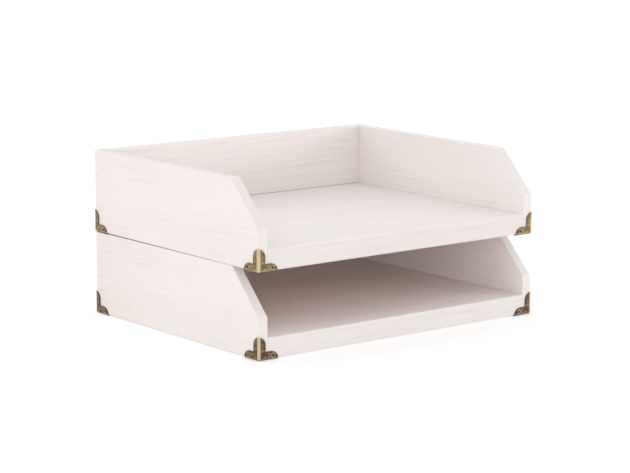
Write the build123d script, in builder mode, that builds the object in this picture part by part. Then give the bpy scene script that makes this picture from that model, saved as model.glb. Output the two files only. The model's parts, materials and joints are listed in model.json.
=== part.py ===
"""Two stackable letter trays of whitewashed wood with brass box corners.

Each tray is a left and a right side with a sloped front, a back board between
them, a front rail and a floor panel held in grooves, all doweled together. Four
pressed brass corners, each held by two pins, wrap the tray's lower corners and
are the feet it stands on. The upper tray is loose on the lower one: its two
rear corners rest on the lower rim, and so it leans forward by their thickness.

Millimetres, +X to the right, +Y to the back, +Z up. The origin is in the middle
of the footprint, on the surface that the lower tray stands on. Every piece is
drawn once in a tray's own frame, whose origin is in the middle of the wood's
underside, and is then placed once for each tray.
"""

import os
from math import atan, degrees, radians, tan

from build123d import *

# Driving sizes of one tray
tray_width = 332.0
tray_depth = 268.0
tray_height = 80.0
front_height = 38.0  # of the upright front end of a side
floor_level = 19.0  # top of the floor and of the front rail
slope_angle = 46.0  # of the sloped front of a side
slope_round = 4.0  # at both ends of the slope

# Boards
side_board = 10.0
back_board = 12.5
panel_board = 6.0
rail_depth = 18.0
rail_rebate = 6.0  # shelf at the back of the rail that the panel lies on
groove_depth = 4.0
arris = 1.2  # rounding of the tray's outer edges
inner_arris = 0.5  # rounding of the edges that face into the tray

# Dowels, glued in blind holes
dowel_radius = 3.0  # of their holes
dowel_cover = 3.0  # wood left between a dowel's hole and a side's outer face
dowel_in_end = 17.0
dowel_chamfer = 0.5
dowel_margin = 15.0  # from the floor and from the rim to the back dowels

# Brass corners
corner_thickness = 1.0
corner_leg = 22.0  # along each edge, measured outside
corner_width = 7.9  # of each fold, measured outside
corner_inner_round = 0.8  # in the notch between two folds
pin_from_tip = 5.7
pin_from_edge = 4.0
pin_radius = 0.6
pin_depth = 8.0  # into the wood
pin_point = 1.5  # length of its point
pin_head_radius = 1.3
pin_head_rise = 0.45

# Clearances
panel_fit = 0.05  # under the panel and at its front edge
back_gap = 0.35  # shadow gap over the panel in the back board's groove
side_gap = 0.1  # over the panel in the sides' grooves
groove_relief = 0.3  # from the panel's edges to the bottoms of its grooves
dowel_fit = 0.05  # radial
dowel_relief = 0.3  # at each end
pin_fit = 0.05  # radial, and at the point
corner_bend_fit = 0.1  # between a board's rounded edge and the bend over it
stack_gap = 0.05  # between the two trays where they touch

# Places that follow from the sizes above
half_width = tray_width / 2
half_depth = tray_depth / 2
inner_x = half_width - side_board
inner_y = half_depth - back_board
slope_run = (tray_height - front_height) / tan(radians(slope_angle))
panel_bottom = floor_level - panel_board
panel_front = -half_depth + rail_depth - rail_rebate + panel_fit
panel_back = inner_y + groove_depth - groove_relief
panel_side = inner_x + groove_depth - groove_relief
groove_front = panel_front - 2 * panel_fit
groove_back = inner_y + groove_depth
groove_bottom = panel_bottom - panel_fit
back_groove_height = floor_level + back_gap - groove_bottom
side_groove_height = floor_level + side_gap - groove_bottom
dowel_in_side = side_board - dowel_cover
dowel_places = [(-half_depth + (rail_depth - rail_rebate) / 2, floor_level / 2)]
dowel_places += [(half_depth - back_board / 2, floor_level + dowel_margin)]
dowel_places += [(half_depth - back_board / 2, tray_height - dowel_margin)]
bend_outside = arris - corner_bend_fit + corner_thickness
pin_in = corner_leg - corner_thickness - pin_from_tip
pin_up = pin_from_edge - corner_thickness
pin_dome = (pin_head_radius**2 + pin_head_rise**2) / (2 * pin_head_rise)

# The upper tray pivots on the front ends of the lower rim until its rear corners touch it
rest_front = -half_depth + slope_run + slope_round * tan(radians(slope_angle / 2))
rest_back = half_depth + corner_thickness - corner_leg
stack_tilt = degrees(atan(corner_thickness / (rest_back - rest_front)))


def facing(x, y, z, normal):
    """A location at a point of a tray, with its Z axis along a level normal."""
    return Plane(origin=(x, y, z), z_dir=normal).location


# Where a tray's pins enter the wood
side_pins = [facing(-half_width, y, pin_up, (-1, 0, 0)) for y in (pin_in - half_depth, half_depth - pin_in)]
front_pins = [facing(x, -half_depth, pin_up, (0, -1, 0)) for x in (pin_in - half_width, half_width - pin_in)]
back_pins = [facing(x, half_depth, pin_up, (0, 1, 0)) for x in (pin_in - half_width, half_width - pin_in)]
all_pins = front_pins + back_pins + side_pins
all_pins += [facing(half_width, y, pin_up, (1, 0, 0)) for y in (pin_in - half_depth, half_depth - pin_in)]

# Left side: the sloped outline, grooved for the panel and drilled for dowels and pins
with BuildPart() as left_side:
    with BuildSketch(Plane.YZ.offset(-half_width)) as side_outline:
        with BuildLine():
            Polyline(
                (-half_depth, 0),
                (half_depth, 0),
                (half_depth, tray_height),
                (-half_depth + slope_run, tray_height),
                (-half_depth, front_height),
                close=True,
            )
        make_face()
        slope_top = side_outline.vertices().sort_by(Axis.Y)[-1:-3:-1].sort_by(Axis.X)[0]
        slope_foot = side_outline.vertices().group_by(Axis.X)[0].sort_by(Axis.Y)[-1]
        fillet([slope_top, slope_foot], slope_round)
    extrude(amount=side_board)
    crossing = left_side.edges().filter_by(Axis.X)
    square_corners = crossing.group_by(Axis.Z)[0] + crossing.group_by(Axis.Y)[-1].sort_by(Axis.Z)[-1:]
    outer_rim = left_side.faces().sort_by(Axis.X)[0].edges()
    fillet(outer_rim + square_corners, arris)
    inner_rim = left_side.faces().sort_by(Axis.X)[-1].edges()
    fillet(inner_rim.group_by(Axis.Z)[-1], inner_arris)
    with BuildSketch(Plane.YZ.offset(-inner_x)):
        with Locations(((groove_front + groove_back) / 2, groove_bottom + side_groove_height / 2)):
            Rectangle(groove_back - groove_front, side_groove_height)
    extrude(amount=-groove_depth, mode=Mode.SUBTRACT)
    with Locations(*[facing(-inner_x, y, z, (1, 0, 0)) for y, z in dowel_places]):
        Hole(dowel_radius, depth=dowel_in_side)
    with Locations(*side_pins):
        Hole(pin_radius + pin_fit, depth=pin_depth + pin_fit)

with BuildPart() as right_side:
    add(left_side.part)
    mirror(about=Plane.YZ, mode=Mode.REPLACE)

# Back board: between the sides, as tall as they are, grooved for the panel
with BuildPart() as back:
    with BuildSketch(Plane.YZ.offset(-inner_x)):
        with Locations((half_depth - back_board / 2, tray_height / 2)):
            Rectangle(back_board, tray_height)
        with Locations((inner_y + groove_depth / 2, groove_bottom + back_groove_height / 2)):
            Rectangle(groove_depth, back_groove_height, mode=Mode.SUBTRACT)
    extrude(amount=2 * inner_x)
    long_edges = back.edges().filter_by(Axis.X)
    fillet(long_edges.group_by(Axis.Y)[-1], arris)
    front_face = back.faces().sort_by(Axis.Y)[0]
    fillet(front_face.edges().filter_by(Axis.Z) + long_edges.group_by(Axis.Z)[-1].sort_by(Axis.Y)[:1], inner_arris)
    for x, outward in ((-inner_x, -1), (inner_x, 1)):
        with Locations(*[facing(x, y, z, (outward, 0, 0)) for y, z in dowel_places[1:]]):
            Hole(dowel_radius, depth=dowel_in_end)
    with Locations(*back_pins):
        Hole(pin_radius + pin_fit, depth=pin_depth + pin_fit)

# Front rail: flush with the panel's top, rebated behind to carry the panel's front edge
with BuildPart() as rail:
    with BuildSketch(Plane.YZ.offset(-inner_x)):
        with BuildLine():
            Polyline(
                (-half_depth, 0),
                (-half_depth + rail_depth, 0),
                (-half_depth + rail_depth, groove_bottom),
                (-half_depth + rail_depth - rail_rebate, groove_bottom),
                (-half_depth + rail_depth - rail_rebate, floor_level),
                (-half_depth, floor_level),
                close=True,
            )
        make_face()
    extrude(amount=2 * inner_x)
    fillet(rail.edges().filter_by(Axis.X).group_by(Axis.Y)[0], arris)
    for x, outward in ((-inner_x, -1), (inner_x, 1)):
        with Locations(*[facing(x, y, z, (outward, 0, 0)) for y, z in dowel_places[:1]]):
            Hole(dowel_radius, depth=dowel_in_end)
    with Locations(*front_pins):
        Hole(pin_radius + pin_fit, depth=pin_depth + pin_fit)

# Floor panel: lies in the grooves of the sides and the back and on the rail's rebate
with BuildPart() as panel:
    with BuildSketch(Plane.XY.offset(panel_bottom)):
        with Locations((0, (panel_front + panel_back) / 2)):
            Rectangle(2 * panel_side, panel_back - panel_front)
    extrude(amount=panel_board)

# Dowels: one at each end of the rail and two at each end of the back board
dowel_length = dowel_in_side + dowel_in_end - 2 * dowel_relief
dowel_x = inner_x + (dowel_in_side - dowel_in_end) / 2
with BuildPart() as dowel:
    Cylinder(dowel_radius - dowel_fit, dowel_length, rotation=(0, 90, 0))
    chamfer(dowel.edges().filter_by(GeomType.CIRCLE), dowel_chamfer)

with BuildPart() as dowels:
    with Locations(*[(x, y, z) for x in (-dowel_x, dowel_x) for y, z in dowel_places]):
        add(dowel.part)

# Brass corner: a bent shell cut on its three faces to two arms with round ends. It is
# drawn for the front left corner, with its outside corner at the origin
with BuildSketch() as leaf:
    with BuildLine():
        Line((0, 0), (corner_leg, 0))
        RadiusArc((corner_leg, 0), (corner_leg - corner_width, corner_width), -corner_width)
        Line((corner_leg - corner_width, corner_width), (corner_width, corner_width))
        Line((corner_width, corner_width), (corner_width, corner_leg - corner_width))
        RadiusArc((corner_width, corner_leg - corner_width), (0, corner_leg), -corner_width)
        Line((0, corner_leg), (0, 0))
    make_face()
    fillet(leaf.vertices().sort_by_distance((corner_width, corner_width))[0], corner_inner_round)

with BuildPart() as corner:
    Box(corner_leg, corner_leg, corner_leg, align=Align.MIN)
    fillet(corner.edges().sort_by_distance((0, 0, 0))[:3], bend_outside)
    far_faces = [corner.faces().sort_by(axis)[-1] for axis in (Axis.X, Axis.Y, Axis.Z)]
    offset(amount=-corner_thickness, openings=far_faces)
    for face_plane in (Plane.XY, Plane.YZ, Plane.ZX):
        with BuildSketch(face_plane):
            add(leaf.sketch)
        extrude(amount=corner_leg, mode=Mode.INTERSECT)
    with Locations(
        facing(corner_leg - pin_from_tip, 0, pin_from_edge, (0, -1, 0)),
        facing(0, corner_leg - pin_from_tip, pin_from_edge, (-1, 0, 0)),
    ):
        Hole(pin_radius + pin_fit, depth=2 * corner_thickness)

with BuildPart() as front_left_corner:
    with Locations((-half_width - corner_thickness, -half_depth - corner_thickness, -corner_thickness)):
        add(corner.part)

with BuildPart() as front_right_corner:
    add(front_left_corner.part)
    mirror(about=Plane.YZ, mode=Mode.REPLACE)

with BuildPart() as rear_left_corner:
    add(front_left_corner.part)
    mirror(about=Plane.XZ, mode=Mode.REPLACE)

with BuildPart() as rear_right_corner:
    add(rear_left_corner.part)
    mirror(about=Plane.YZ, mode=Mode.REPLACE)

# Pin: a domed head on the brass and a pointed shank in the wood, drawn along Z, with the
# wood's face at Z = 0
with BuildPart() as pin:
    with BuildSketch(Plane.XZ):
        with BuildLine():
            Polyline(
                (0, corner_thickness + pin_head_rise),
                (0, -pin_depth),
                (pin_radius, -pin_depth + pin_point),
                (pin_radius, corner_thickness),
                (pin_head_radius, corner_thickness),
            )
            RadiusArc((pin_head_radius, corner_thickness), (0, corner_thickness + pin_head_rise), -pin_dome)
        make_face()
    revolve(axis=Axis.Z)

with BuildPart() as pins:
    with Locations(*all_pins):
        add(pin.part)

pieces = {
    "left_side": left_side.part,
    "right_side": right_side.part,
    "back_board": back.part,
    "front_rail": rail.part,
    "floor_panel": panel.part,
    "dowels": dowels.part,
    "front_left_corner": front_left_corner.part,
    "front_right_corner": front_right_corner.part,
    "rear_left_corner": rear_left_corner.part,
    "rear_right_corner": rear_right_corner.part,
    "corner_pins": pins.part,
}
lower_place = Location((0, 0, corner_thickness))
upper_place = Location((0, rest_front, corner_thickness + tray_height + stack_gap), (stack_tilt, 0, 0))
upper_place *= Location((0, -rest_front, 0))

os.makedirs("parts", exist_ok=True)
for tray, place in (("lower", lower_place), ("upper", upper_place)):
    for name, piece in pieces.items():
        with BuildPart() as placed:
            with Locations(place):
                add(piece)
        placed.part.label = f"{tray}_{name}"
        export_step(placed.part, f"parts/{placed.part.label}.step")
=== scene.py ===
"""Looks of two stacked letter trays: whitewashed boards and antique brass corners.

The boards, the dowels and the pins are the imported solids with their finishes. The
brass corners are made here, as bent and embossed sheet, in place of the plain ones.
Lengths are in metres unless a name ends in _mm.
"""

import json
import logging
from dataclasses import dataclass, field
from enum import Enum
from math import atan2, cos, pi, radians, sin

import bmesh
import bpy
from mathutils import Euler, Matrix, Vector

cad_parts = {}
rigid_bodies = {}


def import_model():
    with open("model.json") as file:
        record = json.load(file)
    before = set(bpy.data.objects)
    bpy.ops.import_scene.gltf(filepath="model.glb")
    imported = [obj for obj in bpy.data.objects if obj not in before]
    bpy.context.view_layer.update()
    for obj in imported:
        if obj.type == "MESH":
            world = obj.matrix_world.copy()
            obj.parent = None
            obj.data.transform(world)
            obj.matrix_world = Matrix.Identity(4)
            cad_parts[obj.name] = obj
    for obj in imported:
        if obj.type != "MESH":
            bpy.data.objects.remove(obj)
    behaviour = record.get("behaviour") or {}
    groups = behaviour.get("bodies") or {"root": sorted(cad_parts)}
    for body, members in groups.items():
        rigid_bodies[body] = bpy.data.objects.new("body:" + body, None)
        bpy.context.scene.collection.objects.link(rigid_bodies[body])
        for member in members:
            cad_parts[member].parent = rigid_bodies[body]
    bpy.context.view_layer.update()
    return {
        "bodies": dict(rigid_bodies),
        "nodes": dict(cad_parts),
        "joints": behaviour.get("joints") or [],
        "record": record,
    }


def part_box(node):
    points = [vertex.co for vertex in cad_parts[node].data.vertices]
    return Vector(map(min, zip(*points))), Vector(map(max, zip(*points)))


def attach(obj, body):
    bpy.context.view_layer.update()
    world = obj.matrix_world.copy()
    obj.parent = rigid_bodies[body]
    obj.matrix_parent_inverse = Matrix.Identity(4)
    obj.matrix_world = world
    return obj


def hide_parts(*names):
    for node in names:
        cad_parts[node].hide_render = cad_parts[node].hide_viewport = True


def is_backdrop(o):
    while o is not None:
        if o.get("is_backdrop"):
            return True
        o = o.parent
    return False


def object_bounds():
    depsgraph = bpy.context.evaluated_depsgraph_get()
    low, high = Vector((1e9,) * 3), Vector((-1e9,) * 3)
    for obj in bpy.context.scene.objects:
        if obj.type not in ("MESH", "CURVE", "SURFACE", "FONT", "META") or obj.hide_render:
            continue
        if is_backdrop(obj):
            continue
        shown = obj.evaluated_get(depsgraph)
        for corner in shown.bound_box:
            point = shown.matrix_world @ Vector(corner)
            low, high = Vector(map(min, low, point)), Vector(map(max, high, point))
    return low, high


MM = 0.001
log = logging.getLogger("letter_tray")

# Scales of the noises in a board, in cycles per mm along its fibres and twice across them
WANDER = (0.0035, 0.04, 0.04)
RIPPLE = (0.026, 0.1, 0.1)
BREAKS = (0.017, 0.16, 0.16)
FIBRES = (0.02, 0.62, 0.62)
PORES = (0.07, 2.4, 2.4)
CLOUDS = (0.007, 0.03, 0.03)

# Scales of the noises in brass, in cycles per mm
BLOTCHES = (0.28, 0.28, 0.28)
SPECKS = (1.6, 1.6, 1.6)


class Level(Enum):
    """Which tray of the stack a piece belongs to."""

    LOWER = "lower"
    UPPER = "upper"


class Grain(Enum):
    """The way a board's fibres run, as the turn that brings them onto X."""

    ACROSS = 0.0
    FRONT_TO_BACK = -pi / 2

    @property
    def axis(self) -> tuple[float, float, float]:
        """The direction of the fibres."""
        return (1.0, 0.0, 0.0) if self is Grain.ACROSS else (0.0, 1.0, 0.0)


class Face(Enum):
    """A side of a board whose tone differs from the rest, by the way it faces: bare wood underneath, painted
    shade on fronts, painted light on the inner faces of the lower tray.
    """

    FRONT = (0.0, -1.0, 0.0)
    UNDERSIDE = (0.0, 0.0, -1.0)
    RIGHT = (1.0, 0.0, 0.0)
    LEFT = (-1.0, 0.0, 0.0)


class Place(Enum):
    """A brass corner's place on its tray, as signs along X and Y."""

    FRONT_LEFT = (-1, -1)
    FRONT_RIGHT = (1, -1)
    REAR_LEFT = (-1, 1)
    REAR_RIGHT = (1, 1)


class Sheet:
    """A node tree with short ways to add its nodes and link them."""

    def __init__(self, tree: bpy.types.NodeTree) -> None:
        """Keep the tree that the nodes go into."""
        self.tree = tree

    def plug(self, socket: bpy.types.NodeSocket, value: object) -> None:
        """Link a socket to another one, or set it to a value.

        Args:
            socket: the input to fill.
            value: an output socket, a number, a vector or a colour. None leaves it.
        """
        if isinstance(value, bpy.types.NodeSocket):
            self.tree.links.new(value, socket)
        elif value is not None:
            socket.default_value = value

    def add(self, kind: str, inputs: dict | None = None, **settings: object) -> bpy.types.Node:
        """Add a node.

        Args:
            kind: the node's type, without its ShaderNode prefix.
            inputs: values or sockets for its inputs, by name or number.
            settings: the node's own properties.

        Returns:
            The node.
        """
        node = self.tree.nodes.new(f"ShaderNode{kind}")
        for name, value in settings.items():
            setattr(node, name, value)
        for name, value in (inputs or {}).items():
            self.plug(node.inputs[name], value)
        return node

    def math(self, operation: str, *values: object, clamp: bool = False) -> bpy.types.NodeSocket:
        """Add a Math node and return its output.

        Args:
            operation: the node's operation.
            values: its inputs, in order.
            clamp: whether the result stays between 0 and 1.

        Returns:
            The result's socket.
        """
        inputs = dict(enumerate(values))
        return self.add("Math", inputs, operation=operation, use_clamp=clamp).outputs[0]

    def vector(self, operation: str, *values: object) -> bpy.types.NodeSocket:
        """Add a Vector Math node and return its output, a number for dots and lengths.

        Args:
            operation: the node's operation.
            values: its inputs, in order.

        Returns:
            The result's socket.
        """
        node = self.add("VectorMath", dict(enumerate(values)), operation=operation)
        return node.outputs["Value" if operation in ("DOT_PRODUCT", "LENGTH") else "Vector"]

    def ramp(self, value: object, low: float, high: float, to: tuple = (0.0, 1.0)) -> bpy.types.NodeSocket:
        """Bring a value smoothly from one range to another.

        Args:
            value: the socket to bring over.
            low: where the result starts to change.
            high: where it stops.
            to: the result at low and at high.

        Returns:
            The result's socket.
        """
        inputs = {"Value": value, 1: low, 2: high, 3: to[0], 4: to[1]}
        return self.add("MapRange", inputs, interpolation_type="SMOOTHSTEP").outputs["Result"]

    def mix(self, share: object, first: object, second: object, blend: str = "MIX") -> bpy.types.NodeSocket:
        """Mix two colours.

        Args:
            share: how much of the second, from 0 to 1.
            first: the colour at 0.
            second: the colour at 1.
            blend: how the second works on the first.

        Returns:
            The mixed colour's socket.
        """
        node = self.add("Mix", data_type="RGBA", blend_type=blend)
        for number, value in ((0, share), (6, first), (7, second)):
            self.plug(node.inputs[number], value)
        return node.outputs[2]

    def noise(
        self, place: object, scale: tuple, detail: float = 2.0, rough: float = 0.5
    ) -> bpy.types.NodeSocket:
        """Add a noise that is stretched differently along each axis.

        Args:
            place: where to read it.
            scale: cycles for each unit of place along X, Y and Z.
            detail: how many finer layers it has.
            rough: how strong the finer layers are.

        Returns:
            The noise's socket, from about 0.2 to 0.8.
        """
        stretched = self.vector("MULTIPLY", place, scale)
        inputs = {"Vector": stretched, "Scale": 1.0, "Detail": detail, "Roughness": rough}
        return self.add("TexNoise", inputs).outputs["Fac"]

    def drift(self, place: object, scale: tuple, reach: tuple) -> bpy.types.NodeSocket:
        """Add a smooth shift that wanders over the surface.

        Args:
            place: where to read it.
            scale: cycles for each unit of place along X, Y and Z.
            reach: the full width of the shift along X, Y and Z.

        Returns:
            The shift's vector socket.
        """
        stretched = self.vector("MULTIPLY", place, scale)
        wave = self.add("TexNoise", {"Vector": stretched, "Scale": 1.0, "Detail": 1.5}).outputs["Color"]
        return self.vector("MULTIPLY", self.vector("SUBTRACT", wave, (0.5, 0.5, 0.5)), reach)


def make_group(
    name: str, inputs: dict[str, tuple], outputs: dict[str, str]
) -> tuple[bpy.types.NodeTree, Sheet, object, bpy.types.Node]:
    """Start a shader node group.

    Args:
        name: the group's name.
        inputs: for each input its kind, Float, Vector or Color, and its default.
        outputs: for each output its kind.

    Returns:
        The group, a sheet on it, its input sockets by name, and its output node.
    """
    group = bpy.data.node_groups.new(name, "ShaderNodeTree")
    for title, (kind, default) in inputs.items():
        socket = group.interface.new_socket(title, in_out="INPUT", socket_type=f"NodeSocket{kind}")
        socket.default_value = default
    for title, kind in outputs.items():
        group.interface.new_socket(title, in_out="OUTPUT", socket_type=f"NodeSocket{kind}")
    entry = group.nodes.new("NodeGroupInput")
    leave = group.nodes.new("NodeGroupOutput")
    return group, Sheet(group), entry.outputs, leave


def make_grain_group() -> bpy.types.NodeTree:
    """Growth rings, fibres and pores of a washed board whose fibres run along X, in mm.

    Returns:
        The group. Its streaks are the parts that the wash covers least.
    """
    group, sheet, ins, leave = make_group(
        "washed_grain",
        {
            "Place": ("Vector", (0, 0, 0)),
            "Pith": ("Vector", (0, 0, 0)),
            "Ring Width": ("Float", 7.0),
            "Ring Strength": ("Float", 0.5),
            "Fibre Strength": ("Float", 0.3),
            "End Grain": ("Float", 0.0),
            "Wash": ("Color", (1, 1, 1, 1)),
            "Streak": ("Color", (0.5, 0.4, 0.3, 1)),
            "Bare End": ("Color", (0.7, 0.7, 0.7, 1)),
            "Fade": ("Float", 0.0),
            "Knot": ("Vector", (0, 0, 0)),
            "Knot Radius": ("Float", 0.0),
        },
        {"Color": "Color", "Roughness": "Float", "Height": "Float"},
    )
    place = ins["Place"]
    wander = sheet.drift(place, WANDER, (0, 17, 17))
    ripple = sheet.drift(place, RIPPLE, (0, 2.0, 2.0))
    across = sheet.vector("ADD", sheet.vector("ADD", place, wander), ripple)
    across = sheet.vector("MULTIPLY", sheet.vector("SUBTRACT", across, ins["Pith"]), (0, 1, 1))
    ring = sheet.math("FRACT", sheet.math("DIVIDE", sheet.vector("LENGTH", across), ins["Ring Width"]))
    late = sheet.math("MULTIPLY", sheet.math("POWER", ring, 8.0), sheet.ramp(ring, 1.0, 0.95))
    late = sheet.math("MULTIPLY", late, sheet.ramp(sheet.noise(place, BREAKS), 0.5, 0.7))
    faint = sheet.math("MULTIPLY", sheet.ramp(ring, 0.25, 0.95), 0.12)
    rings = sheet.math("MULTIPLY", sheet.math("ADD", late, faint), ins["Ring Strength"])
    fibre = sheet.ramp(sheet.noise(place, FIBRES, 3.0, 0.62), 0.47, 0.78)
    pores = sheet.ramp(sheet.noise(place, PORES, 1.0), 0.6, 0.74)
    cloudy = sheet.ramp(sheet.noise(place, CLOUDS), 0.3, 0.75)
    fine = sheet.math("ADD", fibre, sheet.math("MULTIPLY", pores, 0.6))
    fine = sheet.math("MULTIPLY", fine, sheet.math("MULTIPLY_ADD", cloudy, 0.8, 0.35))
    soft = sheet.math("MULTIPLY", cloudy, 0.4)
    fine = sheet.math("MULTIPLY", sheet.math("ADD", fine, soft), ins["Fibre Strength"])
    from_knot = sheet.vector("MULTIPLY", sheet.vector("SUBTRACT", place, ins["Knot"]), (0.6, 1, 1))
    knot = sheet.math("SUBTRACT", ins["Knot Radius"], sheet.vector("LENGTH", from_knot))
    knot = sheet.ramp(knot, -0.3, 0.3)
    # Darker, with thicker streaks, further along +X of the fibres: towards the back on the side boards.
    darken_along = sheet.math("MULTIPLY", sheet.add("SeparateXYZ", {0: place}).outputs[0], ins["Fade"], clamp=True)
    thin = sheet.math("MULTIPLY_ADD", darken_along, 6.0, 1.0)
    streaks = sheet.math("MULTIPLY", sheet.math("ADD", rings, fine), thin)
    amount = sheet.math("ADD", sheet.math("ADD", streaks, darken_along), knot, clamp=True)
    colour = sheet.mix(amount, ins["Wash"], ins["Streak"])
    bare = sheet.math("MULTIPLY", ins["End Grain"], sheet.math("MULTIPLY_ADD", fibre, 0.35, 0.6))
    sheet.plug(leave.inputs["Color"], sheet.mix(bare, colour, ins["Bare End"]))
    sheet.plug(leave.inputs["Roughness"], sheet.math("MULTIPLY_ADD", amount, 0.3, 0.56))
    dip = sheet.math("ADD", sheet.math("MULTIPLY", pores, -1.0), sheet.math("MULTIPLY", fibre, -0.5))
    sheet.plug(leave.inputs["Height"], sheet.math("SUBTRACT", dip, sheet.math("MULTIPLY", rings, 0.6)))
    return group


def make_rub_and_highlight_group() -> bpy.types.NodeTree:
    """Mask of where a board is close to its long edges, broken up as handling rubs them, for lighter edges
    that are partly wear and partly a painted highlight on the arrises.

    Returns:
        The group. Low and High are the board's lowest and highest corner.
    """
    group, sheet, ins, leave = make_group(
        "rubbed_edges",
        {
            "Place": ("Vector", (0, 0, 0)),
            "Low": ("Vector", (0, 0, 0)),
            "High": ("Vector", (1, 1, 1)),
            "Width": ("Float", 2.0 * MM),
        },
        {"Mask": "Float"},
    )
    inside = sheet.vector("MINIMUM", sheet.vector("SUBTRACT", ins["Place"], ins["Low"]),
                          sheet.vector("SUBTRACT", ins["High"], ins["Place"]))
    parts = sheet.add("SeparateXYZ", {0: inside}).outputs
    smaller = sheet.math("MINIMUM", parts[0], parts[1])
    larger = sheet.math("MAXIMUM", parts[0], parts[1])
    middle = sheet.math("MAXIMUM", smaller, sheet.math("MINIMUM", larger, parts[2]))
    near = sheet.math("SUBTRACT", 1.0, sheet.math("DIVIDE", middle, ins["Width"]), clamp=True)
    broken = sheet.ramp(sheet.noise(ins["Place"], (90, 90, 90), 3.0), 0.35, 0.65, (0.35, 1.0))
    sheet.plug(leave.inputs["Mask"], sheet.math("MULTIPLY", near, broken))
    return group


def make_patina_and_light_group() -> bpy.types.NodeTree:
    """Brown patina on pressed brass with painted light: bright on its folds and beads, partly as wear and
    partly as a painted reflection, dark at its rim, partly patina and partly painted shade, and darkened as
    painted shade on its bottom leaf.

    Returns:
        The group. Place is measured in mm from the corner's outer point.
    """
    group, sheet, ins, leave = make_group(
        "brass_patina_and_light",
        {
            "Place": ("Vector", (0, 0, 0)),
            "Rim": ("Float", 0.0),
            "Dark": ("Color", (0.1, 0.07, 0.04, 1)),
            "Brown": ("Color", (0.25, 0.18, 0.1, 1)),
            "Bright": ("Color", (0.8, 0.7, 0.5, 1)),
            "Rub And Highlight Width": ("Float", 3.0),
        },
        {"Color": "Color", "Roughness": "Float", "Height": "Float"},
    )
    place = ins["Place"]
    blotch = sheet.noise(place, BLOTCHES, 3.0, 0.6)
    fine = sheet.noise(place, SPECKS)
    parts = sheet.add("SeparateXYZ", {0: place}).outputs
    upright = sheet.math("MAXIMUM", parts[0], parts[1])
    side_fold = sheet.math("MAXIMUM", parts[0], parts[2])
    lying = sheet.math("MINIMUM", side_fold, sheet.math("MAXIMUM", parts[1], parts[2]))
    # A bright band on the upright fold and a weaker one on the bottom folds: partly wear, partly a painted
    # reflection of the lights.
    ragged = sheet.math("MULTIPLY_ADD", blotch, 1.6, -0.8)
    band = sheet.math("SUBTRACT", sheet.math("ADD", upright, ragged), ins["Rub And Highlight Width"])
    ridge = sheet.ramp(band, 0.5, -0.7)
    foot = sheet.ramp(sheet.math("SUBTRACT", sheet.math("ADD", lying, ragged), ins["Rub And Highlight Width"]), 0.3, -1.6)
    rub_and_highlight = sheet.math("MAXIMUM", ridge, sheet.math("MULTIPLY", foot, 0.45))
    # The beads round the pins are bright: worn brass with a painted highlight.
    bead = sheet.math("MULTIPLY", ins["Rim"], -0.6, clamp=True)
    rub_and_highlight = sheet.math("MAXIMUM", rub_and_highlight, bead)
    rub_and_highlight = sheet.math("MULTIPLY", rub_and_highlight, sheet.ramp(fine, 0.25, 0.5, (0.75, 1.0)), clamp=True)
    base = sheet.mix(sheet.ramp(blotch, 0.36, 0.62), ins["Dark"], ins["Brown"])
    # Darker at the rim: partly patina, partly painted shade at the edge of the sheet.
    edge = sheet.math("MULTIPLY", ins["Rim"], sheet.ramp(fine, 0.3, 0.7, (1.0, 0.6)), clamp=True)
    base = sheet.mix(sheet.math("MULTIPLY", edge, 0.7), base, ins["Dark"])
    # The bottom leaf, under the tray, is darkened as painted shade and loses its bright band.
    sole_painted_shade = sheet.ramp(parts[2], 1.25, 0.55)
    rub_and_highlight = sheet.math("SUBTRACT", rub_and_highlight, sole_painted_shade, clamp=True)
    base = sheet.mix(sole_painted_shade, base, sheet.vector("MULTIPLY", ins["Dark"], (0.5, 0.5, 0.5)))
    sheet.plug(leave.inputs["Color"], sheet.mix(rub_and_highlight, base, ins["Bright"]))
    dull = sheet.math("MULTIPLY_ADD", blotch, 0.25, 0.34)
    sheet.plug(leave.inputs["Roughness"], sheet.math("SUBTRACT", dull, sheet.math("MULTIPLY", rub_and_highlight, 0.14)))
    sheet.plug(leave.inputs["Height"], sheet.math("ADD", blotch, sheet.math("MULTIPLY", fine, 0.4)))
    return group


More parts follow.
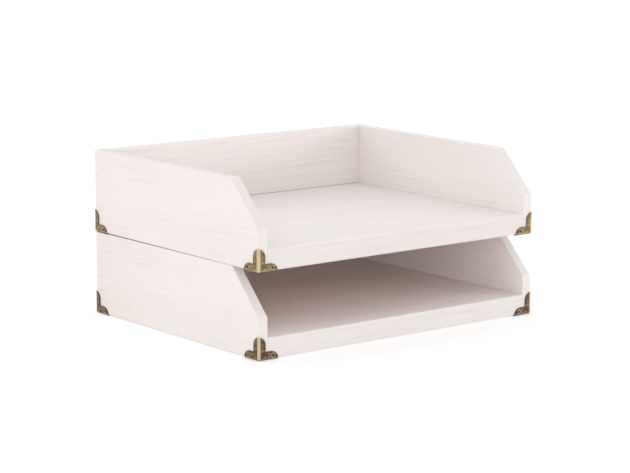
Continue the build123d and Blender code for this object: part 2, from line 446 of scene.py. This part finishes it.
@dataclass(frozen=True)
class WashedWood:
    """Whitewashed light wood: how the grain of one board shows through its wash."""

    grain: Grain
    pith_mm: tuple[float, float]
    ring_mm: float = 5.5
    ring_strength: float = 0.21
    fibre_strength: float = 0.115
    wash: tuple = (0.777, 0.725, 0.702, 1)
    streak: tuple = (0.44, 0.345, 0.29, 1)
    bare_end: tuple = (0.65, 0.6, 0.578, 1)
    # Lighter edges: partly wear of the wash, partly a painted highlight on the arrises.
    rub_and_highlight_colour: tuple = (0.86, 0.82, 0.8, 1)
    rub_and_highlight_share: float = 0.3
    rub_and_highlight_width: float = 1.6 * MM
    # How much darker and more streaked the board gets per mm along its fibres.
    darken_along_grain_per_mm: float = 0.0
    # The toned face: bare wood underneath, painted shade on the rails' fronts, painted light on the lower
    # tray's inner faces.
    toned_face: Face | None = None
    tone: tuple = (1.0, 1.0, 1.0, 1)
    knot_mm: tuple[float, float, float] = (0.0, 0.0, 0.0)
    knot_radius_mm: float = -1.0

    def material(self, name: str, low: Vector, high: Vector, groups: dict) -> bpy.types.Material:
        """Make the finish for one board.

        Args:
            name: the material's name.
            low: the board's lowest corner.
            high: its highest corner.
            groups: the shader groups, by name.

        Returns:
            The material.
        """
        made, sheet, shader = start_material(name)
        turn = Matrix.Rotation(self.grain.value, 3, "Z")
        centre = turn @ ((low + high) / 2) / MM
        place = sheet.add("TexCoord").outputs["Object"]
        settled = sheet.add("Mapping", {"Vector": place, "Location": -centre,
                                        "Rotation": (0, 0, self.grain.value), "Scale": (1 / MM,) * 3})
        normal = sheet.add("NewGeometry").outputs["Normal"]
        facing = sheet.vector("DOT_PRODUCT", normal, self.grain.axis)
        end = sheet.ramp(sheet.math("ABSOLUTE", facing), 0.45, 0.7)
        grain = sheet.add("Group", node_tree=groups["grain"])
        values = {"Place": settled.outputs[0], "Pith": (0, *self.pith_mm), "Ring Width": self.ring_mm,
                  "Ring Strength": self.ring_strength, "Fibre Strength": self.fibre_strength,
                  "End Grain": end, "Wash": self.wash, "Streak": self.streak, "Bare End": self.bare_end,
                  "Fade": self.darken_along_grain_per_mm, "Knot": self.knot_mm, "Knot Radius": self.knot_radius_mm}
        for title, value in values.items():
            sheet.plug(grain.inputs[title], value)
        rub_and_highlight = sheet.add("Group", node_tree=groups["rub_and_highlight"])
        for title, value in (("Place", place), ("Low", low), ("High", high), ("Width", self.rub_and_highlight_width)):
            sheet.plug(rub_and_highlight.inputs[title], value)
        # Lighter near the edges: partly wear, partly a painted highlight.
        share = sheet.math("MULTIPLY", rub_and_highlight.outputs["Mask"], self.rub_and_highlight_share)
        colour = sheet.mix(share, grain.outputs["Color"], self.rub_and_highlight_colour)
        # Tone one face: bare wood on undersides, painted shade on the rails' fronts, painted light on the
        # lower tray's inner faces.
        if self.toned_face:
            toward = sheet.vector("DOT_PRODUCT", normal, self.toned_face.value)
            toned = sheet.mix(1.0, grain.outputs["Color"], self.tone, "MULTIPLY")
            colour = sheet.mix(sheet.ramp(toward, 0.5, 0.9), colour, toned)
        bump = sheet.add("Bump", {"Strength": 0.35, "Distance": 0.12 * MM, "Height": grain.outputs["Height"]})
        sheet.plug(shader.inputs["Base Color"], colour)
        sheet.plug(shader.inputs["Roughness"], grain.outputs["Roughness"])
        sheet.plug(shader.inputs["Normal"], bump.outputs["Normal"])
        shader.inputs["Specular IOR Level"].default_value = 0.3
        return made


@dataclass(frozen=True)
class AntiqueBrass:
    """Pressed sheet brass with a dark brown patina that wears bright on the folds, with a painted reflection
    there, and painted shade at its rim and under the tray.
    """

    dark: tuple = (0.14, 0.1, 0.055, 1)
    brown: tuple = (0.34, 0.25, 0.145, 1)
    bright: tuple = (0.6, 0.49, 0.31, 1)
    rub_and_highlight_width_mm: float = 2.6

    def material(self, name: str, groups: dict) -> bpy.types.Material:
        """Make the finish. It reads the corner_place and rim attributes of its piece.

        Args:
            name: the material's name.
            groups: the shader groups, by name.

        Returns:
            The material.
        """
        made, sheet, shader = start_material(name)
        place = sheet.add("Attribute", attribute_name="corner_place").outputs["Vector"]
        rim = sheet.add("Attribute", attribute_name="rim").outputs["Fac"]
        patina = sheet.add("Group", node_tree=groups["patina"])
        values = {"Place": place, "Rim": rim, "Dark": self.dark, "Brown": self.brown,
                  "Bright": self.bright, "Rub And Highlight Width": self.rub_and_highlight_width_mm}
        for title, value in values.items():
            sheet.plug(patina.inputs[title], value)
        bump = sheet.add("Bump", {"Strength": 0.5, "Distance": 0.15 * MM, "Height": patina.outputs["Height"]})
        sheet.plug(shader.inputs["Base Color"], patina.outputs["Color"])
        sheet.plug(shader.inputs["Roughness"], patina.outputs["Roughness"])
        sheet.plug(shader.inputs["Normal"], bump.outputs["Normal"])
        shader.inputs["Metallic"].default_value = 1.0
        return made


@dataclass(frozen=True)
class PinMetal:
    """Copper-coloured pins with a little tarnish."""

    clean: tuple = (0.19, 0.115, 0.065, 1)
    tarnish: tuple = (0.03, 0.018, 0.011, 1)

    def material(self, name: str) -> bpy.types.Material:
        """Make the finish under the given name and return it."""
        made, sheet, shader = start_material(name)
        place = sheet.add("TexCoord").outputs["Object"]
        spots = sheet.ramp(sheet.noise(place, (900, 900, 900), 3.0), 0.42, 0.62)
        sheet.plug(shader.inputs["Base Color"], sheet.mix(spots, self.clean, self.tarnish))
        sheet.plug(shader.inputs["Roughness"], sheet.math("MULTIPLY_ADD", spots, 0.25, 0.3))
        shader.inputs["Metallic"].default_value = 1.0
        return made


@dataclass(frozen=True)
class DowelWood:
    """Bare turned hardwood."""

    pale: tuple = (0.62, 0.44, 0.27, 1)
    dark: tuple = (0.42, 0.27, 0.15, 1)

    def material(self, name: str) -> bpy.types.Material:
        """Make the finish under the given name and return it."""
        made, sheet, shader = start_material(name)
        place = sheet.add("TexCoord").outputs["Object"]
        fibre = sheet.noise(place, (40, 900, 900), 3.0)
        sheet.plug(shader.inputs["Base Color"], sheet.mix(sheet.ramp(fibre, 0.35, 0.7), self.pale, self.dark))
        sheet.plug(shader.inputs["Roughness"], sheet.math("MULTIPLY_ADD", fibre, 0.2, 0.6))
        return made


def start_material(name: str) -> tuple[bpy.types.Material, Sheet, bpy.types.Node]:
    """Start a node material.

    Args:
        name: the material's name.

    Returns:
        The material, a sheet on its node tree, and its Principled shader.
    """
    made = bpy.data.materials.new(name)
    made.use_nodes = True
    made.node_tree.nodes.clear()
    sheet = Sheet(made.node_tree)
    shader = sheet.add("BsdfPrincipled")
    sheet.add("OutputMaterial", {"Surface": shader.outputs[0]})
    return made, sheet, shader


def dress(obj: bpy.types.Object, finish: bpy.types.Material) -> None:
    """Give an object one finish in place of what it had."""
    obj.data.materials.clear()
    obj.data.materials.append(finish)


@dataclass
class BrassCorner:
    """A pressed brass corner, drawn at the origin with its leaves along +X, +Y and +Z."""

    leg: float = 22.0 * MM
    width: float = 7.9 * MM
    thickness: float = 1.0 * MM
    bend: float = 2.1 * MM
    bend_steps: int = 6
    tip_steps: int = 9
    rim_width: float = 0.75 * MM
    rim_slope: float = 0.3 * MM
    field_depth: float = 0.2 * MM
    pin_from_tip: float = 5.7 * MM
    pin_from_edge: float = 4.0 * MM
    ring_radius: float = 2.05 * MM
    ring_bead: float = 0.42 * MM
    ring_steps: int = 28
    sharp_deg: float = 38.0

    def build(self, name: str, place: Matrix) -> bpy.types.Object:
        """Make one corner.

        Args:
            name: the object's name.
            place: from the corner's own frame to the row frame. It may mirror.

        Returns:
            The object, at the origin, with its place in its mesh.
        """
        shape = self._bent_faces()
        self._round_tips(shape)
        bmesh.ops.remove_doubles(shape, verts=shape.verts, dist=0.01 * MM)
        bmesh.ops.recalc_face_normals(shape, faces=shape.faces)
        self._face_out(shape)
        bmesh.ops.solidify(shape, geom=shape.faces[:], thickness=self.thickness)
        bmesh.ops.recalc_face_normals(shape, faces=shape.faces)
        self._emboss(shape)
        self._add_rings(shape)
        bmesh.ops.recalc_face_normals(shape, faces=shape.faces)
        self._note_places(shape)
        bmesh.ops.transform(shape, matrix=place, verts=shape.verts)
        if place.determinant() < 0:
            bmesh.ops.reverse_faces(shape, faces=shape.faces)
        mesh = bpy.data.meshes.new(name)
        shape.to_mesh(mesh)
        shape.free()
        mesh.shade_smooth()
        mesh.set_sharp_from_angle(angle=radians(self.sharp_deg))
        made = bpy.data.objects.new(name, mesh)
        bpy.context.scene.collection.objects.link(made)
        return made

    def _bent_faces(self) -> bmesh.types.BMesh:
        """Three square faces that meet at the origin in rounded bends, cut to L shapes."""
        shape = bmesh.new()
        shape.verts.layers.float.new("rim")
        shape.verts.layers.float_vector.new("corner_place")
        bmesh.ops.create_cube(shape, size=self.leg)
        bmesh.ops.translate(shape, verts=shape.verts, vec=(self.leg / 2,) * 3)
        far = [face for face in shape.faces if max(face.normal) > 0.5]
        bmesh.ops.delete(shape, geom=far, context="FACES")
        folds = [edge for edge in shape.edges if len(edge.link_faces) == 2]
        bmesh.ops.bevel(shape, geom=folds, offset=self.bend, offset_type="OFFSET", segments=self.bend_steps,
                        profile=0.5, affect="EDGES", material=-1)
        for axis in (Vector((1, 0, 0)), Vector((0, 1, 0)), Vector((0, 0, 1))):
            for distance in (self.width, self.leg - self.width):
                every = shape.verts[:] + shape.edges[:] + shape.faces[:]
                bmesh.ops.bisect_plane(shape, geom=every, dist=1e-7, plane_co=axis * distance, plane_no=axis)
        notch = [face for face in shape.faces
                 if sorted(face.calc_center_median())[1] > self.width]
        bmesh.ops.delete(shape, geom=notch, context="FACES")
        return shape

    def _round_tips(self, shape: bmesh.types.BMesh) -> None:
        """Cut both leaves of each arm's end to a quarter circle."""
        start = self.leg - self.width
        step = pi / 2 / self.tip_steps
        for along in range(3):
            for over, leaf in (((along + 1) % 3, (along + 2) % 3), ((along + 2) % 3, (along + 1) % 3)):
                for number in range(self.tip_steps):
                    angle = (number + 0.5) * step
                    normal = Vector((0, 0, 0))
                    normal[along], normal[over] = cos(angle), sin(angle)
                    middle = normal * self.width * cos(step / 2)
                    middle[along] += start
                    faces = [face for face in shape.faces if face.calc_center_median()[along] > start
                             and abs(face.normal[leaf]) >= abs(face.normal[over])]
                    parts = {part for face in faces for part in (*face.verts, *face.edges)}
                    bmesh.ops.bisect_plane(shape, geom=faces + list(parts), dist=1e-7,
                                           plane_co=middle, plane_no=normal)
            outside = []
            for face in shape.faces:
                centre = face.calc_center_median()
                height = max(centre[(along + 1) % 3], centre[(along + 2) % 3])
                if centre[along] > start and (centre[along] - start) ** 2 + height**2 > self.width**2:
                    outside.append(face)
            bmesh.ops.delete(shape, geom=outside, context="FACES")

    @staticmethod
    def _face_out(shape: bmesh.types.BMesh) -> None:
        """Turn the sheet's faces away from the inside of the corner."""
        if sum(sum(face.normal) * face.calc_area() for face in shape.faces) > 0:
            bmesh.ops.reverse_faces(shape, faces=shape.faces)

    def _outer(self, shape: bmesh.types.BMesh) -> list:
        """The faces that show, without the sheet's edges and its inside."""
        return [face for face in shape.faces if -sum(face.normal) > 0.7]

    def _emboss(self, shape: bmesh.types.BMesh) -> None:
        """Leave a raised rim round the leaves and sink the field within it."""
        rim = shape.verts.layers.float["rim"]
        for vert in shape.verts:
            vert[rim] = 1.0
        field_faces = self._outer(shape)
        bmesh.ops.inset_region(shape, faces=field_faces, thickness=self.rim_width, depth=0,
                               use_boundary=True, use_even_offset=True)
        bmesh.ops.inset_region(shape, faces=field_faces, thickness=self.rim_slope, depth=-self.field_depth,
                               use_boundary=True, use_even_offset=True)
        for face in field_faces:
            for vert in face.verts:
                vert[rim] = 0.0

    def _add_rings(self, shape: bmesh.types.BMesh) -> None:
        """Press a round bead into the front and the side leaf, about their pins."""
        along = self.leg - self.pin_from_tip
        rim = shape.verts.layers.float["rim"]
        for centre, axis, outward in (
            (Vector((along, self.field_depth, self.pin_from_edge)), Vector((0, 1, 0)), Vector((1, 0, 0))),
            (Vector((self.field_depth, along, self.pin_from_edge)), Vector((1, 0, 0)), Vector((0, 1, 0))),
        ):
            place = Matrix.Translation(centre + outward * self.ring_radius)
            bead = bmesh.ops.create_circle(shape, segments=8, radius=self.ring_bead, matrix=place)["verts"]
            # A rim of -1 marks the bead, which the brass shows bright, as wear with a painted highlight.
            for vert in bead:
                vert[rim] = -1.0
            edges = {edge for vert in bead for edge in vert.link_edges}
            bmesh.ops.spin(shape, geom=bead + list(edges), cent=centre, axis=axis, dvec=(0, 0, 0),
                           angle=2 * pi, steps=self.ring_steps, use_merge=True)

    def _note_places(self, shape: bmesh.types.BMesh) -> None:
        """Write each vertex's place in the corner's own frame, in mm, for the patina."""
        place = shape.verts.layers.float_vector["corner_place"]
        for vert in shape.verts:
            vert[place] = vert.co / MM


@dataclass
class Tray:
    """One tray of the stack: five boards, its dowels, four brass corners and their pins."""

    level: Level
    boards: dict[str, WashedWood]
    brass: AntiqueBrass = field(default_factory=AntiqueBrass)
    corner: BrassCorner = field(default_factory=BrassCorner)

    @property
    def body(self) -> str:
        """The body that the tray's pieces ride on."""
        return f"{self.level.value}_tray"

    def node(self, piece: str) -> str:
        """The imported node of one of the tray's pieces."""
        return f"{self.level.value}_{piece}"

    def placement(self, frame: dict) -> Matrix:
        """How this tray's place differs from the lower tray's.

        Args:
            frame: the loaded frame.

        Returns:
            The turn and the shift that bring the lower tray's pieces here.
        """
        if self.level is Level.LOWER:
            return Matrix.Identity(4)
        rim = next(mount for mount in frame["record"]["mounts"] if mount["name"] == "rim")
        turn = Matrix.Rotation(atan2(-rim["axis"][1], rim["axis"][2]), 4, "X")
        middles = []
        for level in (Level.LOWER, self.level):
            corners = [vert.co for vert in frame["nodes"][f"{level.value}_floor_panel"].data.vertices]
            middles.append(sum(corners, Vector()) / len(corners))
        return Matrix.Translation(middles[1]) @ turn @ Matrix.Translation(-middles[0])

    def build(self, frame: dict, groups: dict) -> None:
        """Dress the tray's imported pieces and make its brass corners.

        Args:
            frame: the loaded frame.
            groups: the shader groups, by name.
        """
        self._dress_boards(frame, groups)
        dress(frame["nodes"][self.node("dowels")], DowelWood().material(self.node("dowel_wood")))
        dress(frame["nodes"][self.node("corner_pins")], PinMetal().material(self.node("pin_copper")))
        self._make_corners(self.placement(frame), groups)

    def _dress_boards(self, frame: dict, groups: dict) -> None:
        """Give each board its own run of grain."""
        for board, finish in self.boards.items():
            name = self.node(board)
            low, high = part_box(name)
            dress(frame["nodes"][name], finish.material(f"washed_{name}", low, high, groups))
            log.info("dressed %s", name)

    def _make_corners(self, placement: Matrix, groups: dict) -> None:
        """Make the four brass corners, which mirror each other."""
        brass = self.brass.material(self.node("antique_brass"), groups)
        for place in Place:
            across, back = place.value
            twin = f"{Level.LOWER.value}_{place.name.lower()}_corner"
            low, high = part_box(twin)
            outside = Vector(((high if across > 0 else low).x, (high if back > 0 else low).y, low.z))
            mirrored = Matrix.Diagonal((-across, -back, 1, 1))
            name = f"{self.level.value}_{place.name.lower()}_brass_corner"
            made = self.corner.build(name, placement @ Matrix.Translation(outside) @ mirrored)
            dress(made, brass)
            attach(made, self.body)
            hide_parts(self.node(f"{place.name.lower()}_corner"))
            log.info("made %s with %d faces", name, len(made.data.polygons))


@dataclass(frozen=True)
class Softbox:
    """A square soft light, aimed at the stack."""

    name: str
    place: tuple[float, float, float]
    size: float
    power: float

    def build(self, aim: Vector) -> bpy.types.Object:
        """Make the light, pointing at a place, and return it."""
        lamp = bpy.data.lights.new(self.name, "AREA")
        lamp.size = self.size
        lamp.energy = self.power
        made = bpy.data.objects.new(self.name, lamp)
        made.location = self.place
        made.rotation_euler = (aim - Vector(self.place)).to_track_quat("-Z", "Y").to_euler()
        bpy.context.scene.collection.objects.link(made)
        return made


@dataclass
class Studio:
    """A pale floor, a bright surround, soft lights and the camera."""

    surround: float = 1.01
    softboxes: tuple[Softbox, ...] = (
        Softbox("low_left_softbox", (-1.8, -1.8, 0.5), 1.0, 8.5),
        Softbox("low_right_softbox", (1.9, -1.7, 0.42), 1.0, 15.5),
        Softbox("rear_softbox", (-1.2, 2.0, 1.4), 1.0, 8.0),
    )
    floor_radius: float = 14.0
    floor_colour: tuple = (0.68, 0.68, 0.68, 1)
    floor_glow: float = 0.36
    eye: tuple[float, float, float] = (-1.2841, -1.6432, 0.4463)
    heading_deg: float = 38.06
    down_deg: float = 10.055
    lens_mm: float = 123.47
    sensor_mm: float = 36.0
    clearance: float = 0.02 * MM

    def build(self) -> None:
        """Make the whole studio."""
        self._surround()
        self._floor()
        low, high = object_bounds()
        for softbox in self.softboxes:
            softbox.build((low + high) / 2)
        self._camera()

    def _surround(self) -> None:
        """An even white light from all sides."""
        world = bpy.data.worlds.new("studio_surround")
        world.use_nodes = True
        world.node_tree.nodes["Background"].inputs["Color"].default_value = (1, 1, 1, 1)
        world.node_tree.nodes["Background"].inputs["Strength"].default_value = self.surround
        bpy.context.scene.world = world

    def _floor(self) -> None:
        """A plain pale floor just under the stack."""
        shape = bmesh.new()
        bmesh.ops.create_circle(shape, cap_ends=True, segments=64, radius=self.floor_radius)
        mesh = bpy.data.meshes.new("studio_floor")
        shape.to_mesh(mesh)
        shape.free()
        floor = bpy.data.objects.new("studio_floor", mesh)
        floor.location.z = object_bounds()[0].z - self.clearance
        bpy.context.scene.collection.objects.link(floor)
        made, sheet, shader = start_material("studio_floor_paint")
        shader.inputs["Base Color"].default_value = self.floor_colour
        shader.inputs["Roughness"].default_value = 0.9
        shader.inputs["Specular IOR Level"].default_value = 0.0
        shader.inputs["Emission Color"].default_value = (1, 1, 1, 1)
        shader.inputs["Emission Strength"].default_value = self.floor_glow
        dress(floor, made)
        floor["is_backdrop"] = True

    def _camera(self) -> None:
        """A long lens, a little above the stack and to its left."""
        lens = bpy.data.cameras.new("studio_camera")
        lens.lens = self.lens_mm
        lens.sensor_width = self.sensor_mm
        lens.clip_end = 60.0
        made = bpy.data.objects.new("studio_camera", lens)
        made.location = self.eye
        made.rotation_euler = Euler((radians(90 - self.down_deg), 0, radians(-self.heading_deg)))
        bpy.context.scene.collection.objects.link(made)
        bpy.context.scene.camera = made


# Tones that multiply the wash of one face of a board, and the washes of the floors. The raw tone is bare wood
# under the floors; the front tones are painted shade on the rails' fronts; the bay tone and the lower floor's
# wash are painted light, lighter where the upper tray shades the lower one.
RAW = (1.2, 0.9, 0.82, 1)
FRONT_PAINTED_SHADE = (0.845, 0.83, 0.825, 1)
LOWER_FRONT_PAINTED_SHADE = (0.795, 0.78, 0.77, 1)
BAY_PAINTED_LIGHT = (1.16, 1.17, 1.175, 1)
FLOOR_WASH = (0.803, 0.755, 0.738, 1)
LOWER_FLOOR_WASH_PAINTED_LIGHT = (0.87, 0.83, 0.811, 1)
LOWER_BOARDS = {
    # The inner faces of these boards are lighter as painted light, in the bay under the upper tray.
    "left_side": WashedWood(Grain.FRONT_TO_BACK, (38.0, -95.0), ring_mm=4.4, darken_along_grain_per_mm=0.0007,
                            toned_face=Face.RIGHT, tone=BAY_PAINTED_LIGHT),
    "right_side": WashedWood(Grain.FRONT_TO_BACK, (-50.0, 110.0), ring_mm=5.0,
                             toned_face=Face.LEFT, tone=BAY_PAINTED_LIGHT),
    "back_board": WashedWood(Grain.ACROSS, (60.0, 90.0), ring_mm=6.0, toned_face=Face.FRONT, tone=BAY_PAINTED_LIGHT),
    # The rail's front is darker as painted shade. Its wash is the lower floor's, lighter as painted light.
    "front_rail": WashedWood(Grain.ACROSS, (120.0, -70.0), ring_mm=5.0, wash=LOWER_FLOOR_WASH_PAINTED_LIGHT,
                             toned_face=Face.FRONT, tone=LOWER_FRONT_PAINTED_SHADE),
    # The floor's wash is lighter as painted light in the shade of the upper tray; its underside is bare wood.
    "floor_panel": WashedWood(Grain.ACROSS, (170.0, -60.0), ring_mm=5.0, wash=LOWER_FLOOR_WASH_PAINTED_LIGHT,
                              toned_face=Face.UNDERSIDE, tone=RAW),
}
LOWER_BRASS = AntiqueBrass(dark=(0.07, 0.042, 0.027, 1), brown=(0.26, 0.175, 0.108, 1), rub_and_highlight_width_mm=2.3)
UPPER_BOARDS = {
    "left_side": WashedWood(Grain.FRONT_TO_BACK, (-35.0, 100.0), ring_mm=4.6, darken_along_grain_per_mm=0.0003),
    "right_side": WashedWood(Grain.FRONT_TO_BACK, (60.0, -95.0), ring_mm=5.2, ring_strength=0.28,
                             wash=FLOOR_WASH),
    "back_board": WashedWood(Grain.ACROSS, (-70.0, -85.0), ring_mm=6.4, ring_strength=0.4, wash=FLOOR_WASH),
    # The rail's front is darker as painted shade.
    "front_rail": WashedWood(Grain.ACROSS, (-110.0, 70.0), ring_mm=5.0, wash=FLOOR_WASH,
                             toned_face=Face.FRONT, tone=FRONT_PAINTED_SHADE),
    "floor_panel": WashedWood(Grain.ACROSS, (-160.0, 60.0), ring_mm=5.0, wash=FLOOR_WASH,
                              toned_face=Face.UNDERSIDE, tone=RAW,
                              knot_mm=(-31.0, -121.0, 3.0), knot_radius_mm=0.9),
}


def set_colours() -> None:
    """Show colours as they are, with no film curve."""
    bpy.context.scene.view_settings.view_transform = "Standard"
    bpy.context.scene.view_settings.look = "None"


def main() -> None:
    """Build the stack of trays and the studio."""
    logging.basicConfig(level=logging.INFO, format="%(name)s: %(message)s")
    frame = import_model()
    set_colours()
    groups = {"grain": make_grain_group(), "rub_and_highlight": make_rub_and_highlight_group(), "patina": make_patina_and_light_group()}
    for tray in (Tray(Level.LOWER, LOWER_BOARDS, LOWER_BRASS), Tray(Level.UPPER, UPPER_BOARDS)):
        tray.build(frame, groups)
    Studio().build()


if __name__ == "__main__":
    main()
